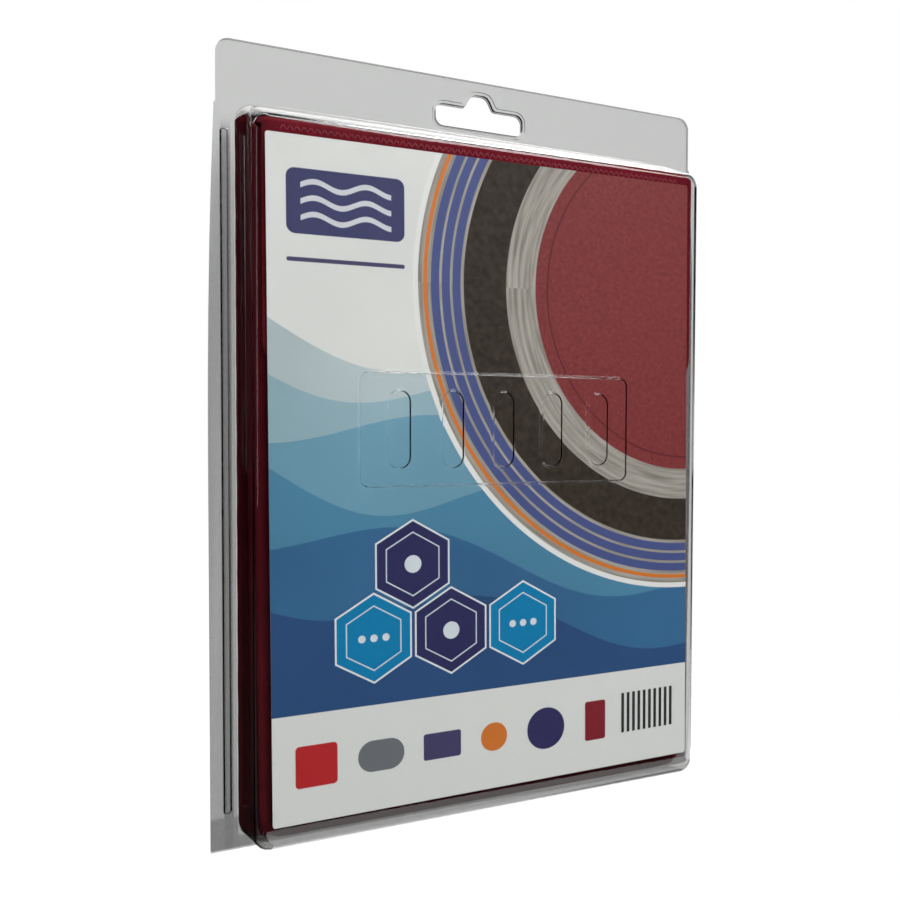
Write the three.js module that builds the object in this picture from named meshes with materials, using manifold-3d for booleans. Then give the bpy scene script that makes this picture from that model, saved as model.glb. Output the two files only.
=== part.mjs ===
// Hanging clear clamshell pack that holds a fabric cooling wallet behind a printed card.
// Millimetres. Inside the turned pack group X runs right, Y runs up and Z comes forward,
// from the back of the pack; the group turns that to +Z up with the pack facing -Y.
// The origin is where the shop peg bears, at the top of the hang slot on the back face.
import * as THREE from 'three';
import { mergeVertices } from 'three/addons/utils/BufferGeometryUtils.js';
import Module from 'manifold-3d';

const wasm = await Module();
wasm.setup();

// Clear sheet and the gap that pieces keep where they rest on each other
const clear_sheet = 0.5;
const rest_gap = 0.3;
const cut_overrun = 2;

// Flange and header outline
const flange_half_width = 84.2;
const flange_shoulder_half_width = 82.2;
const flange_straight_height = 118;
const flange_top = 217;
const header_half_width = 81.7;
const header_top = 235.5;
const header_corner_radius = 4;
const fold_clearance = 0.3;

// Tray formed in the front shell
const tray_base_half_width = 76.4;
const tray_base_low = 3.2;
const tray_base_high = 217.6;
const tray_base_corner = 5.5;
const tray_face_half_width = 70.7;
const tray_face_low = 9.2;
const tray_face_high = 207.4;
const tray_face_corner = 3;
const tray_edge_fillet = 3;
const tray_base_fillet = 1.2;
const form_lap = 1;

// Raised panel on the tray's face, with its stiffening ribs
const panel_half_width = 45;
const panel_height = 34.2;
const panel_middle_height = 123.9;
const panel_corner = 3.2;
const panel_rise = 1.5;
const panel_slope = 1.1;
const panel_fillet = 0.7;
const rib_count = 5;
const rib_half_width = 4;
const rib_height = 24;
const rib_spacing = 16.5;
const rib_rise = 1.3;
const rib_slope = 1;
const rib_fillet = 0.6;

// Snap beads beside the tray, with the back shell's ribs inside them
const bead_half_width = 1.2;
const bead_middle = 79.4;
const bead_low = 11;
const bead_high = 210;
const bead_rise = 0.9;
const bead_slope = 0.3;
const bead_fillet = 0.3;
const bead_play = 0.3;
const snap_rib_slope = 0.1;
const snap_rib_fillet = 0.1;

// Hang slot, punched through both headers
const slot_half_width = 15.2;
const slot_low = 219.9;
const slot_wing_height = 7;
const slot_wing_corner = 2.6;
const slot_crown_height = 4.3;
const slot_crown_foot_half_width = 5.4;
const slot_crown_top_half_width = 1.2;
const slot_crown_bend = 3.9;
const slot_lip_width = 0.9;
const slot_lip_rise = 0.6;

// Printed card
const card_width = 138.8;
const card_height = 192;
const card_thickness = 0.4;
const card_corner = 0.8;
const card_middle_height = 109.2;
const card_skew_degrees = 0.4;

// Wallet cover cloth
const cover_cloth = 0.7;
const cover_half_width = 74.4;
const cover_low = 5.2;
const cover_back_top = 214.8;
const cover_mouth_height = 207;
const cover_wall_top = 213.6;
const cover_wall_half_width = 72.6;
const cover_wall_low = 7;
const cover_face_half_width = 69;
const cover_face_low = 10.6;
const cover_wall_corner = 7;
const cover_face_corner = 4;
const cover_shoulder_fillet = 3.5;
const cover_seam_fillet = 0.6;

// Flap, folded from the top of the back panel down over the front
const flap_cloth = 0.8;
const flap_half_width = 70.8;
const flap_fold_height = 216.4;
const flap_shoulder_height = 209;
const flap_shoulder_radius = 2.6;
const flap_low = 139;
const flap_back_margin = 0.2;

// Hook and loop closure
const closure_strip = 0.5;
const closure_half_width = 55;
const closure_height = 20;
const closure_corner = 1.5;
const closure_edge_margin = 6;

// Woven tape round the raw edges
const edge_tape = 0.4;
const cover_tape_lip = 0.9;
const mouth_tape_lip = 2.7;
const mouth_tape_half_width = 67.6;

// Inner pouch: two quilted gel panels with a pocket for pens between them
const pouch_ply = 0.5;
const pouch_half_width = 68;
const pouch_low = 12;
const pouch_top = 200;
const pouch_tape_lip = 4;
const pocket_depth = 5;
const channel_count = 5;
const channel_swell = 0.8;
const channel_seam_gap = 0.3;
const channel_side_margin = 4;
const channel_end_margin = 7;
const channel_taper = 7;

// Dry cooling crystals in each channel
const charge_half_width = 8.6;
const charge_half_thickness = 0.55;

// Fineness of round stretches
const corner_steps = 5;
const fillet_steps = 3;
const base_fillet_steps = 2;
const channel_steps = 6;
const charge_cap_steps = 2;
const charge_sides = 8;
const merge_tolerance = 1e-5;

// Depths from the back face forward: each layer rests on the one behind it
const back_sheet_front = clear_sheet;
const flange_back = back_sheet_front + rest_gap;
const flange_front = flange_back + clear_sheet;
const cover_tape_back = back_sheet_front + rest_gap;
const back_panel_back = cover_tape_back + edge_tape + rest_gap;
const back_panel_front = back_panel_back + cover_cloth;
const gel_panel_thickness = 2 * pouch_ply + 2 * channel_swell + channel_seam_gap;
const rear_gel_back = back_panel_front + rest_gap;
const rear_gel_front = rear_gel_back + gel_panel_thickness;
const front_gel_back = rear_gel_front + pocket_depth;
const front_gel_front = front_gel_back + gel_panel_thickness;
const front_panel_back = front_gel_front + rest_gap;
const front_panel_front = front_panel_back + cover_cloth;
const loop_back = front_panel_front + rest_gap;
const loop_front = loop_back + closure_strip;
const hook_back = loop_front + rest_gap;
const hook_front = hook_back + closure_strip;
const flap_back = hook_front + rest_gap;
const flap_front = flap_back + flap_cloth;
const card_back = flap_front + rest_gap;
const card_front = card_back + card_thickness;
const tray_face_back = card_front + rest_gap;
const tray_face_front = tray_face_back + clear_sheet;
const slot_top = slot_low + slot_wing_height + slot_crown_height;

const quarter_turn = Math.PI / 2;

// Materials
function finish(colour, roughness, options = {}) {
  return new THREE.MeshStandardMaterial({ color: colour, roughness, metalness: 0, ...options });
}
const clear_plastic = finish(0xdfe4e4, 0.08, { transparent: true, opacity: 0.3 });
const printed_board = finish(0xc9ccc8, 0.45);
const burgundy_cloth = finish(0x5a1420, 0.9);
const burgundy_tape = finish(0x4a0f1a, 0.85);
const hook_nylon = finish(0x3d0c15, 0.7);
const loop_nylon = finish(0x481019, 0.95);
const black_cloth = finish(0x1c1a1a, 0.92);
const black_tape = finish(0x141313, 0.85);
const gel_crystals = finish(0xe6e8e4, 0.35);

// A solid that manifold can join and cut, from a closed three.js geometry
function toSolid(geometry) {
  const bare = geometry.index ? geometry.toNonIndexed() : geometry.clone();
  bare.deleteAttribute('normal');
  bare.deleteAttribute('uv');
  const merged = mergeVertices(bare, merge_tolerance);
  return new wasm.Manifold(new wasm.Mesh({
    numProp: 3,
    vertProperties: new Float32Array(merged.attributes.position.array),
    triVerts: new Uint32Array(merged.index.array),
  }));
}

function toGeometry(solid) {
  const mesh = solid.getMesh();
  const geometry = new THREE.BufferGeometry();
  geometry.setAttribute('position', new THREE.BufferAttribute(mesh.vertProperties, 3));
  geometry.setIndex(new THREE.BufferAttribute(mesh.triVerts, 1));
  return geometry;
}

function buildGeometry(points, triangles) {
  const geometry = new THREE.BufferGeometry().setFromPoints(points);
  geometry.setIndex(triangles);
  return geometry;
}

// Closed skin through convex loops of equal count, the front-most loop first
function loftGeometry(loops) {
  const count = loops[0].length;
  const points = loops.flat();
  const triangles = [];
  for (let row = 0; row + 1 < loops.length; row += 1) {
    for (let column = 0; column < count; column += 1) {
      const next = (column + 1) % count;
      const near = row * count;
      const far = near + count;
      triangles.push(near + column, far + column, far + next);
      triangles.push(near + column, far + next, near + next);
    }
  }
  const lastRow = (loops.length - 1) * count;
  const frontHub = points.length;
  const backHub = frontHub + 1;
  points.push(middleOf(loops[0]), middleOf(loops[loops.length - 1]));
  for (let column = 0; column < count; column += 1) {
    const next = (column + 1) % count;
    triangles.push(frontHub, column, next);
    triangles.push(backHub, lastRow + next, lastRow + column);
  }
  return buildGeometry(points, triangles);
}

function middleOf(loop) {
  const sum = loop.reduce((total, point) => total.add(point), new THREE.Vector3());
  return sum.divideScalar(loop.length);
}

// Closed slab between two grids of points, each grid a list of rows
function slabGeometry(frontRows, backRows) {
  const rows = frontRows.length;
  const columns = frontRows[0].length;
  const points = [...frontRows.flat(), ...backRows.flat()];
  const triangles = [];
  const front = (row, column) => row * columns + column;
  const back = (row, column) => rows * columns + row * columns + column;
  const quad = (a, b, c, d) => triangles.push(a, b, c, a, c, d);
  for (let row = 0; row + 1 < rows; row += 1) {
    for (let column = 0; column + 1 < columns; column += 1) {
      const right = column + 1;
      quad(front(row, column), front(row, right), front(row + 1, right), front(row + 1, column));
      quad(back(row, column), back(row + 1, column), back(row + 1, right), back(row, right));
    }
    const last = columns - 1;
    quad(front(row, 0), front(row + 1, 0), back(row + 1, 0), back(row, 0));
    quad(front(row, last), back(row, last), back(row + 1, last), front(row + 1, last));
  }
  const top = rows - 1;
  for (let column = 0; column + 1 < columns; column += 1) {
    quad(front(0, column), back(0, column), back(0, column + 1), front(0, column + 1));
    quad(front(top, column), front(top, column + 1), back(top, column + 1), back(top, column));
  }
  return buildGeometry(points, triangles);
}

// Loop round a rounded rectangle whose sides, foot and head lie at their own depths
function outlineLoop({ middle = 0, half, low, high, radius }, depths) {
  const loop = [];
  for (let quarter = 0; quarter < 4; quarter += 1) {
    const onRight = quarter === 0 || quarter === 3;
    const onTop = quarter < 2;
    const cornerX = middle + (onRight ? half - radius : radius - half);
    const cornerY = onTop ? high - radius : low + radius;
    const endDepth = onTop ? depths.high : depths.low;
    for (let step = 0; step <= corner_steps; step += 1) {
      const angle = (quarter + step / corner_steps) * quarter_turn;
      const across = Math.cos(angle);
      const upward = Math.sin(angle);
      const depth = depths.side * across ** 2 + endDepth * upward ** 2;
      loop.push(new THREE.Vector3(cornerX + radius * across, cornerY + radius * upward, depth));
    }
  }
  return loop;
}

// Section of a formed wall from the face's edge out to its foot, with both fillets.
// Each station gives its distance out from the face, its height and its outward normal.
function wallStations(run, rise, faceFillet, baseFillet, lap) {
  const reach = Math.hypot(run, rise - faceFillet);
  const wallAngle = Math.atan2(rise - faceFillet, run) + Math.asin(faceFillet / reach);
  const draft = quarter_turn - wallAngle;
  const stations = [];
  for (let step = 0; step <= fillet_steps; step += 1) {
    const angle = (wallAngle * step) / fillet_steps;
    const outward = Math.sin(angle);
    const forward = Math.cos(angle);
    stations.push({ out: faceFillet * outward, up: rise - faceFillet * (1 - forward), outward, forward });
  }
  const footOut = run + baseFillet * Math.tan(wallAngle / 2);
  for (let step = 0; step <= base_fillet_steps; step += 1) {
    const angle = draft + (wallAngle * step) / base_fillet_steps;
    const outward = Math.cos(angle);
    const forward = Math.sin(angle);
    stations.push({ out: footOut - baseFillet * outward, up: baseFillet * (1 - forward), outward, forward });
  }
  stations.push({ out: footOut + lap, up: 0, outward: 0, forward: 1 });
  return stations;
}

// Loops of a form raised from a sheet, on the surface or one sheet thickness below it
function formLoops(form, depthBelow) {
  const { base, face, rest, rise, faceFillet, baseFillet, lap } = form;
  const sideRun = base.half - face.half;
  const sides = wallStations(sideRun, rise, faceFillet, baseFillet, lap);
  const lows = wallStations(face.low - base.low, rise, faceFillet, baseFillet, lap);
  const highs = wallStations(base.high - face.high, rise, faceFillet, baseFillet, lap);
  return sides.map((side, index) => {
    const low = lows[index];
    const high = highs[index];
    const blend = side.out / sideRun;
    const outline = {
      middle: face.middle,
      half: face.half + side.out - depthBelow * side.outward,
      low: face.low - low.out + depthBelow * low.outward,
      high: face.high + high.out - depthBelow * high.outward,
      radius: face.radius + (base.radius - face.radius) * blend - depthBelow * side.outward,
    };
    return outlineLoop(outline, {
      side: rest + side.up - depthBelow * side.forward,
      low: rest + low.up - depthBelow * low.forward,
      high: rest + high.up - depthBelow * high.forward,
    });
  });
}

// A form as a skin of its sheet's thickness
function skinOf(form) {
  const surface = formLoops(form, 0);
  const underside = formLoops(form, form.sheet).reverse();
  return toSolid(loftGeometry([...surface, ...underside]));
}

// The prism that opens the sheet inside a form's foot
function openingOf(form) {
  const foot = formLoops(form, 0).at(-2);
  const at = (depth) => foot.map((point) => new THREE.Vector3(point.x, point.y, depth));
  const front = at(form.rest + form.rise + cut_overrun);
  const back = at(form.rest - form.sheet - cut_overrun);
  return toSolid(loftGeometry([front, back]));
}

// A sheet with a form drawn out of it
function withForm(sheet, form) {
  return sheet.subtract(openingOf(form)).add(skinOf(form));
}

// A rounded rectangle form whose face is drawn in from its base by an equal slope
function evenForm({ middle = 0, half, low, high, radius, slope, rise, rest, sheet, fillet, lap }) {
  return {
    base: { middle, half, low, high, radius },
    face: { middle, half: half - slope, low: low + slope, high: high - slope, radius: radius - slope },
    rest,
    rise,
    sheet,
    faceFillet: fillet,
    baseFillet: fillet,
    lap,
  };
}

// A flat plate of an outline, from its back depth forward
function flatGeometry(shape, thickness, back) {
  const geometry = new THREE.ExtrudeGeometry(shape, {
    depth: thickness, bevelEnabled: false, curveSegments: corner_steps,
  });
  return geometry.translate(0, 0, back);
}

function roundedRectangle({ middle = 0, half, low, high, radius }) {
  const shape = new THREE.Shape();
  const left = middle - half;
  const right = middle + half;
  shape.moveTo(left + radius, low);
  shape.lineTo(right - radius, low);
  shape.absarc(right - radius, low + radius, radius, -quarter_turn, 0);
  shape.lineTo(right, high - radius);
  shape.absarc(right - radius, high - radius, radius, 0, quarter_turn);
  shape.lineTo(left + radius, high);
  shape.absarc(left + radius, high - radius, radius, quarter_turn, 2 * quarter_turn);
  shape.lineTo(left, low + radius);
  shape.absarc(left + radius, low + radius, radius, 2 * quarter_turn, 3 * quarter_turn);
  return shape;
}

// Sheet outline: square at the fold, straight flanges that draw in to the header's shoulder
function sheetOutline() {
  const shape = new THREE.Shape();
  const shoulder = flange_top + (flange_shoulder_half_width - header_half_width);
  shape.moveTo(-flange_half_width, fold_clearance);
  shape.lineTo(flange_half_width, fold_clearance);
  shape.lineTo(flange_half_width, flange_straight_height);
  shape.quadraticCurveTo(
    flange_half_width, (flange_straight_height + flange_top) / 2,
    flange_shoulder_half_width, flange_top,
  );
  shape.lineTo(header_half_width, shoulder);
  shape.lineTo(header_half_width, header_top - header_corner_radius);
  shape.absarc(
    header_half_width - header_corner_radius, header_top - header_corner_radius,
    header_corner_radius, 0, quarter_turn,
  );
  shape.lineTo(header_corner_radius - header_half_width, header_top);
  shape.absarc(
    header_corner_radius - header_half_width, header_top - header_corner_radius,
    header_corner_radius, quarter_turn, 2 * quarter_turn,
  );
  shape.lineTo(-header_half_width, shoulder);
  shape.lineTo(-flange_shoulder_half_width, flange_top);
  shape.quadraticCurveTo(
    -flange_half_width, (flange_straight_height + flange_top) / 2,
    -flange_half_width, flange_straight_height,
  );
  return shape;
}

// Hang slot outline, with its crown, grown by a margin all round
function slotOutline(margin) {
  const shape = new THREE.Shape();
  const half = slot_half_width + margin;
  const low = slot_low - margin;
  const wing = slot_low + slot_wing_height + margin;
  const corner = slot_wing_corner + margin;
  const crown = slot_top + margin;
  const foot = slot_crown_foot_half_width + margin;
  const top = slot_crown_top_half_width + margin / 2;
  const bend = slot_crown_bend + margin;
  shape.moveTo(corner - half, low);
  shape.lineTo(half - corner, low);
  shape.absarc(half - corner, low + corner, corner, -quarter_turn, 0);
  shape.lineTo(half, wing - corner);
  shape.absarc(half - corner, wing - corner, corner, 0, quarter_turn);
  shape.lineTo(foot, wing);
  shape.bezierCurveTo(bend, wing, bend, crown, top, crown);
  shape.lineTo(-top, crown);
  shape.bezierCurveTo(-bend, crown, -bend, wing, -foot, wing);
  shape.lineTo(corner - half, wing);
  shape.absarc(corner - half, wing - corner, corner, quarter_turn, 2 * quarter_turn);
  shape.lineTo(-half, low + corner);
  shape.absarc(corner - half, low + corner, corner, 2 * quarter_turn, 3 * quarter_turn);
  return shape;
}

function slotPrism(margin, back, front) {
  return toSolid(flatGeometry(slotOutline(margin), front - back, back));
}

// Back shell: flat sheet, header with the slot, and the ribs that snap into the front
function backShell() {
  let shell = toSolid(flatGeometry(sheetOutline(), clear_sheet, 0));
  const inset = clear_sheet + bead_play;
  for (const side of [-1, 1]) {
    const rib = evenForm({
      middle: side * bead_middle,
      half: bead_half_width - inset,
      low: bead_low + inset,
      high: bead_high - inset,
      radius: bead_half_width - inset,
      slope: snap_rib_slope,
      rise: bead_rise,
      rest: back_sheet_front,
      sheet: clear_sheet,
      fillet: snap_rib_fillet,
      lap: 0,
    });
    const surface = formLoops(rib, 0);
    const root = surface.at(-1).map((point) => new THREE.Vector3(point.x, point.y, clear_sheet / 2));
    shell = shell.add(toSolid(loftGeometry([...surface, root])));
  }
  return shell.subtract(slotPrism(0, -cut_overrun, clear_sheet + cut_overrun));
}

// Front shell: flange and header sheet with the tray, raised panel, ribs, beads and slot lip
function trayForm() {
  return {
    base: { half: tray_base_half_width, low: tray_base_low, high: tray_base_high, radius: tray_base_corner },
    face: { half: tray_face_half_width, low: tray_face_low, high: tray_face_high, radius: tray_face_corner },
    rest: flange_front,
    rise: tray_face_front - flange_front,
    sheet: clear_sheet,
    faceFillet: tray_edge_fillet,
    baseFillet: tray_base_fillet,
    lap: form_lap,
  };
}

function panelForm() {
  return evenForm({
    half: panel_half_width,
    low: panel_middle_height - panel_height / 2,
    high: panel_middle_height + panel_height / 2,
    radius: panel_corner,
    slope: panel_slope,
    rise: panel_rise,
    rest: tray_face_front,
    sheet: clear_sheet,
    fillet: panel_fillet,
    lap: form_lap,
  });
}

function ribForm(index) {
  return evenForm({
    middle: (index - (rib_count - 1) / 2) * rib_spacing,
    half: rib_half_width,
    low: panel_middle_height - rib_height / 2,
    high: panel_middle_height + rib_height / 2,
    radius: rib_half_width,
    slope: rib_slope,
    rise: rib_rise,
    rest: tray_face_front + panel_rise,
    sheet: clear_sheet,
    fillet: rib_fillet,
    lap: form_lap,
  });
}

function beadForm(side) {
  return evenForm({
    middle: side * bead_middle,
    half: bead_half_width,
    low: bead_low,
    high: bead_high,
    radius: bead_half_width,
    slope: bead_slope,
    rise: bead_rise,
    rest: flange_front,
    sheet: clear_sheet,
    fillet: bead_fillet,
    lap: bead_fillet,
  });
}

function frontShell() {
  let shell = toSolid(flatGeometry(sheetOutline(), clear_sheet, flange_back));
  shell = withForm(shell, trayForm());
  shell = withForm(shell, panelForm());
  for (let index = 0; index < rib_count; index += 1) {
    shell = withForm(shell, ribForm(index));
  }
  for (const side of [-1, 1]) {
    shell = withForm(shell, beadForm(side));
  }
  shell = shell.add(slotPrism(slot_lip_width, flange_back, flange_front + slot_lip_rise));
  return shell.subtract(slotPrism(0, flange_back - cut_overrun, flange_front + slot_lip_rise + cut_overrun));
}

// Printed card, lying a touch askew behind the tray's face
function insertCard() {
  const outline = { half: card_width / 2, low: -card_height / 2, high: card_height / 2, radius: card_corner };
  const geometry = flatGeometry(roundedRectangle(outline), card_thickness, card_back);
  geometry.rotateZ(THREE.MathUtils.degToRad(card_skew_degrees));
  return geometry.translate(0, card_middle_height, 0);
}

// Flat back panel of the wallet cover
function coverBackPanel() {
  const outline = { half: cover_half_width, low: cover_low, high: cover_back_top, radius: cover_face_corner };
  return flatGeometry(roundedRectangle(outline), cover_cloth, back_panel_back);
}

// Front panel of the wallet cover, like a shallow open-topped bag; its side walls climb from
// the mouth to the back panel
function coverFrontPanel() {
  const overshoot = cover_wall_half_width;
  const rest = back_panel_front + rest_gap + cover_cloth;
  const bag = {
    base: {
      half: cover_wall_half_width,
      low: cover_wall_low,
      high: cover_mouth_height + overshoot,
      radius: cover_wall_corner,
    },
    face: {
      half: cover_face_half_width,
      low: cover_face_low,
      high: cover_mouth_height + overshoot / 2,
      radius: cover_face_corner,
    },
    rest,
    rise: front_panel_front - rest,
    sheet: cover_cloth,
    faceFillet: cover_shoulder_fillet,
    baseFillet: cover_seam_fillet,
    lap: cover_half_width - cover_wall_half_width - cover_seam_fillet,
  };
  const seam = rest - cover_cloth;
  const clear = front_panel_front + cut_overrun;
  const above = cover_mouth_height + 2 * overshoot;
  const points = [
    [seam - cut_overrun, cover_wall_top], [seam, cover_wall_top],
    [front_panel_back, cover_mouth_height], [clear, cover_mouth_height],
    [clear, above], [seam - cut_overrun, above],
  ];
  const mouth = new THREE.Shape(points.map(([depth, height]) => new THREE.Vector2(depth, height)));
  return skinOf(bag).subtract(toSolid(acrossGeometry(mouth, 2 * cover_half_width)));
}

// Strip with an L or C section in depth and height, run across the pack
function acrossGeometry(shape, halfWidth) {
  const geometry = new THREE.ExtrudeGeometry(shape, {
    depth: 2 * halfWidth, bevelEnabled: false, curveSegments: corner_steps,
  });
  geometry.rotateY(-quarter_turn);
  return geometry.translate(halfWidth, 0, 0);
}

// Flap section: sloping spine, rounded shoulder and the leaf that hangs down in front
function flapSection() {
  const foldDepth = back_panel_back + flap_back_margin;
  const slope = Math.atan2(flap_fold_height - flap_shoulder_height, flap_front - foldDepth);
  const bend = quarter_turn - slope;
  const innerRadius = flap_shoulder_radius - flap_cloth;
  const setback = flap_shoulder_radius * Math.tan(bend / 2);
  const centreDepth = flap_front - flap_shoulder_radius;
  const centreHeight = flap_shoulder_height - setback;
  const thicknessDrop = flap_cloth / Math.cos(slope);
  const shape = new THREE.Shape();
  shape.moveTo(foldDepth, flap_fold_height - thicknessDrop);
  shape.absarc(centreDepth, centreHeight, innerRadius, bend, 0, true);
  shape.lineTo(flap_back, flap_low);
  shape.lineTo(flap_front, flap_low);
  shape.absarc(centreDepth, centreHeight, flap_shoulder_radius, 0, bend);
  shape.lineTo(foldDepth, flap_fold_height);
  return shape;
}

function closureStrip(back) {
  const low = flap_low + closure_edge_margin;
  const outline = { half: closure_half_width, low, high: low + closure_height, radius: closure_corner };
  return flatGeometry(roundedRectangle(outline), closure_strip, back);
}

// Tape with a C section: a web outside an edge and a lip on each face
function channelSection(web, edge, back, front, lip) {
  const away = Math.sign(web - edge);
  const tip = edge - away * lip;
  const points = [
    [web, back], [web, front], [tip, front], [tip, front - edge_tape],
    [web - away * edge_tape, front - edge_tape], [web - away * edge_tape, back + edge_tape],
    [tip, back + edge_tape], [tip, back],
  ];
  return new THREE.Shape(points.map(([reach, depth]) => new THREE.Vector2(reach, depth)));
}

function uprightTape(side, edge, low, high, back, front, lip) {
  const web = edge + rest_gap + edge_tape;
  const section = channelSection(side * web, side * edge, back, front, lip);
  const geometry = new THREE.ExtrudeGeometry(section, { depth: high - low, bevelEnabled: false });
  geometry.rotateX(quarter_turn);
  return geometry.translate(0, high, 0);
}

function crossTape(edge, below, halfWidth, back, front, lip) {
  const web = below ? edge - rest_gap - edge_tape : edge + rest_gap + edge_tape;
  const section = channelSection(web, edge, back, front, lip);
  const turned = new THREE.Shape(section.getPoints().map((point) => new THREE.Vector2(point.y, point.x)));
  return acrossGeometry(turned, halfWidth);
}

// Quilted gel panel: two plies that swell over each channel and meet at the seams
function swellShareAt(x, y) {
  const quilted = pouch_half_width - channel_side_margin;
  const pitch = (2 * quilted) / channel_count;
  const along = Math.min(y - pouch_low, pouch_top - y) - channel_end_margin;
  const ends = THREE.MathUtils.smoothstep(along, 0, channel_taper);
  if (Math.abs(x) >= quilted) {
    return 0;
  }
  return ends * Math.sin((Math.PI * (x + quilted)) / pitch) ** 2;
}

function plyColumns() {
  const quilted = pouch_half_width - channel_side_margin;
  const steps = channel_count * channel_steps;
  const columns = [-pouch_half_width];
  for (let step = 0; step <= steps; step += 1) {
    columns.push(-quilted + (2 * quilted * step) / steps);
  }
  columns.push(pouch_half_width);
  return columns;
}

function plyRows() {
  const start = pouch_low + channel_end_margin;
  const end = pouch_top - channel_end_margin;
  return [
    pouch_low, start, start + channel_taper / 2, start + channel_taper,
    end - channel_taper, end - channel_taper / 2, end, pouch_top,
  ];
}

function quiltedPly(seamBack, swellSign) {
  const rowsAt = (offset) => plyRows().map((y) => plyColumns().map((x) => {
    const depth = seamBack + offset + swellSign * channel_swell * swellShareAt(x, y);
    return new THREE.Vector3(x, y, depth);
  }));
  return slabGeometry(rowsAt(pouch_ply), rowsAt(0));
}

function chargeGeometry(index, middleDepth) {
  const quilted = pouch_half_width - channel_side_margin;
  const pitch = (2 * quilted) / channel_count;
  const clearEnd = channel_end_margin + channel_taper;
  const length = pouch_top - pouch_low - 2 * clearEnd - 2 * charge_half_width;
  const geometry = new THREE.CapsuleGeometry(charge_half_width, length, charge_cap_steps, charge_sides);
  geometry.scale(1, 1, charge_half_thickness / charge_half_width);
  const x = (index - (channel_count - 1) / 2) * pitch;
  return geometry.translate(x, (pouch_low + pouch_top) / 2, middleDepth);
}

// The assembly
const pack = new THREE.Group();
pack.rotation.x = quarter_turn;
pack.position.z = -slot_top;

function place(name, shape, material) {
  const mesh = new THREE.Mesh(shape instanceof THREE.BufferGeometry ? shape : toGeometry(shape), material);
  mesh.name = name;
  pack.add(mesh);
}

place('back_shell', backShell(), clear_plastic);
place('front_shell', frontShell(), clear_plastic);
place('insert_card', insertCard(), printed_board);

place('cover_back_panel', coverBackPanel(), burgundy_cloth);
place('cover_front_panel', coverFrontPanel(), burgundy_cloth);
place('cover_flap', acrossGeometry(flapSection(), flap_half_width), burgundy_cloth);
place('flap_hook_strip', closureStrip(hook_back), hook_nylon);
place('front_loop_strip', closureStrip(loop_back), loop_nylon);

const seamFront = back_panel_front + rest_gap + cover_cloth + rest_gap + edge_tape;
for (const [word, side] of [['left', -1], ['right', 1]]) {
  const coverTape = uprightTape(
    side, cover_half_width, cover_low + cover_face_corner, cover_back_top - cover_face_corner,
    cover_tape_back, seamFront, cover_tape_lip,
  );
  place(`cover_${word}_binding`, coverTape, burgundy_tape);
  const pouchTape = uprightTape(
    side, pouch_half_width, pouch_low, pouch_top, rear_gel_back, front_gel_front, pouch_tape_lip,
  );
  place(`pouch_${word}_binding`, pouchTape, black_tape);
}

const coverBottomHalf = cover_half_width - cover_tape_lip - cover_face_corner;
const coverBottomTape = crossTape(
  cover_low, true, coverBottomHalf, cover_tape_back, seamFront, cover_tape_lip,
);
place('cover_bottom_binding', coverBottomTape, burgundy_tape);

const mouthTapeBack = front_panel_back - rest_gap - edge_tape;
const mouthTapeFront = front_panel_front + rest_gap + edge_tape;
const coverMouthTape = crossTape(
  cover_mouth_height, false, mouth_tape_half_width, mouthTapeBack, mouthTapeFront, mouth_tape_lip,
);
place('cover_mouth_binding', coverMouthTape, burgundy_tape);

const pouchBottomHalf = pouch_half_width - pouch_tape_lip - rest_gap;
const pouchBottomTape = crossTape(
  pouch_low, true, pouchBottomHalf, rear_gel_back, front_gel_front, pouch_tape_lip,
);
place('pouch_bottom_binding', pouchBottomTape, black_tape);

const panels = [['rear', rear_gel_back], ['front', front_gel_back]];
for (const [word, back] of panels) {
  const rearSeam = back + channel_swell;
  const frontSeam = rearSeam + pouch_ply + channel_seam_gap;
  place(`pouch_${word}_panel_back_ply`, toSolid(quiltedPly(rearSeam, -1)), black_cloth);
  place(`pouch_${word}_panel_front_ply`, toSolid(quiltedPly(frontSeam, 1)), black_cloth);
  for (let index = 0; index < channel_count; index += 1) {
    const charge = chargeGeometry(index, back + gel_panel_thickness / 2);
    place(`gel_charge_${word}_${index + 1}`, charge, gel_crystals);
  }
}

export default pack;
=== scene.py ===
import math

import bpy
import numpy as np
from mathutils import Matrix, Vector, noise


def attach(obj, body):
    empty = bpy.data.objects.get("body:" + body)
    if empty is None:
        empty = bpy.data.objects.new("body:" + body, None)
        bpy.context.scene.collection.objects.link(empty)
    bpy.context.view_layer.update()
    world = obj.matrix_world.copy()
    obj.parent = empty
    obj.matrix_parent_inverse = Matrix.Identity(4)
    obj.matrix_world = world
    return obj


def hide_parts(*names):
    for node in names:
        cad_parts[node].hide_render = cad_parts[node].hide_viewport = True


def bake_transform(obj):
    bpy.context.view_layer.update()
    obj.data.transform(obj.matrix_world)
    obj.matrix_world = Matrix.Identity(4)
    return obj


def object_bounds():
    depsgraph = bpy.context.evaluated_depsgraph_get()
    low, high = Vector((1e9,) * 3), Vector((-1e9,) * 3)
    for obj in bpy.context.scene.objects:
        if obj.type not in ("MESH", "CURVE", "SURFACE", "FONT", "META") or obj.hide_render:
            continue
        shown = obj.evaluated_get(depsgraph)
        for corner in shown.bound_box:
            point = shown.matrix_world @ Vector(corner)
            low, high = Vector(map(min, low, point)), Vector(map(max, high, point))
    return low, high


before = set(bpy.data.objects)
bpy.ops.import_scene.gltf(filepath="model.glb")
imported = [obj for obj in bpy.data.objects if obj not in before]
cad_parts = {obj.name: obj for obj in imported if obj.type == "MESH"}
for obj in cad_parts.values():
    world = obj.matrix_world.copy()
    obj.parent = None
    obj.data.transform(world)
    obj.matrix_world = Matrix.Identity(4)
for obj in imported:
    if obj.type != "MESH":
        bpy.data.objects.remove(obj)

cad_low, cad_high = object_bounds()

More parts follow.
